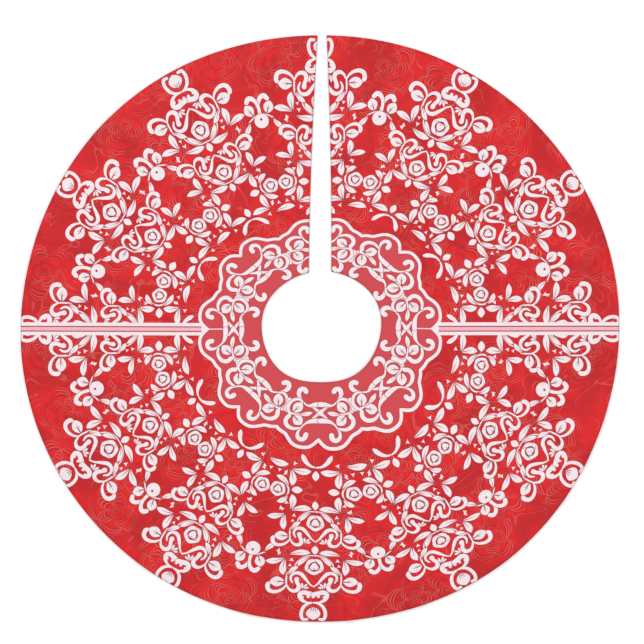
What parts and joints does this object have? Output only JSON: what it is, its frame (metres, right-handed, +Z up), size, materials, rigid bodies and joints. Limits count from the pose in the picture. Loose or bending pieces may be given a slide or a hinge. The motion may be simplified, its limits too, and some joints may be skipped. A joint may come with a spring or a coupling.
{
  "type": "tree skirt",
  "caption": "Round red-and-white printed cloth skirt, laid flat, with a centre trunk hole and a slit that lets it wrap a tree's base; folds and closes with hidden tabs.",
  "frame": {"origin": "centre of the trunk hole, on the floor that the skirt lies on", "axes": "+Z up, +Y along the slit from the trunk hole to the hem, +X to the right seen from above"},
  "size_m": [1.1176, 1.1175, 0.0054],
  "materials": {
    "printed_cloth": "satin-faced polyester, printed red and white",
    "lining": "plain woven polyester, matte",
    "edge_tape": "twill tape, matte",
    "webbing": "woven tape, matte",
    "hook_pile": "nylon hooks, matte",
    "loop_pile": "brushed nylon loops, matte",
    "label": "satin ribbon"
  },
  "bodies": {
    "lower_right": {"face_lower_right": "printed_cloth", "lining_lower_right": "lining", "hem_tape_lower_right": "edge_tape", "collar_tape_lower_right": "edge_tape", "care_label": "label"},
    "lower_left": {"face_lower_left": "printed_cloth", "lining_lower_left": "lining", "hem_tape_lower_left": "edge_tape", "collar_tape_lower_left": "edge_tape"},
    "upper_left": {"face_upper_left": "printed_cloth", "lining_upper_left": "lining", "hem_tape_upper_left": "edge_tape", "collar_tape_upper_left": "edge_tape", "slit_tape_left": "edge_tape", "loop_patch_inner": "loop_pile", "loop_patch_middle": "loop_pile", "loop_patch_outer": "loop_pile"},
    "upper_right": {"face_upper_right": "printed_cloth", "lining_upper_right": "lining", "hem_tape_upper_right": "edge_tape", "collar_tape_upper_right": "edge_tape", "slit_tape_right": "edge_tape"},
    "tab_inner": {"tab_strap_inner": "webbing", "hook_patch_inner": "hook_pile"},
    "tab_middle": {"tab_strap_middle": "webbing", "hook_patch_middle": "hook_pile"},
    "tab_outer": {"tab_strap_outer": "webbing", "hook_patch_outer": "hook_pile"}
  },
  "joints": [
    {"name": "storage_fold", "type": "hinge", "parent": "lower_right", "child": "lower_left", "pos_m": [0, 0, -0.006], "axis": [0, -1, 0], "range_deg": [0, 180]},
    {"name": "left_flap_fold", "type": "hinge", "parent": "lower_left", "child": "upper_left", "pos_m": [0, 0, 0.014], "axis": [1, 0, 0], "range_deg": [0, 180]},
    {"name": "right_flap_fold", "type": "hinge", "parent": "lower_right", "child": "upper_right", "pos_m": [0, 0, 0.014], "axis": [1, 0, 0], "range_deg": [0, 180]},
    {"name": "tab_inner_swing", "type": "hinge", "parent": "upper_right", "child": "tab_inner", "pos_m": [0.02153, 0.19, 0.0013], "axis": [0, 1, 0], "range_deg": [0, 180]},
    {"name": "tab_middle_swing", "type": "hinge", "parent": "upper_right", "child": "tab_middle", "pos_m": [0.01899, 0.325, 0.0013], "axis": [0, 1, 0], "range_deg": [0, 180]},
    {"name": "tab_outer_swing", "type": "hinge", "parent": "upper_right", "child": "tab_outer", "pos_m": [0.01429, 0.46, 0.0013], "axis": [0, 1, 0], "range_deg": [0, 180]}
  ]
}
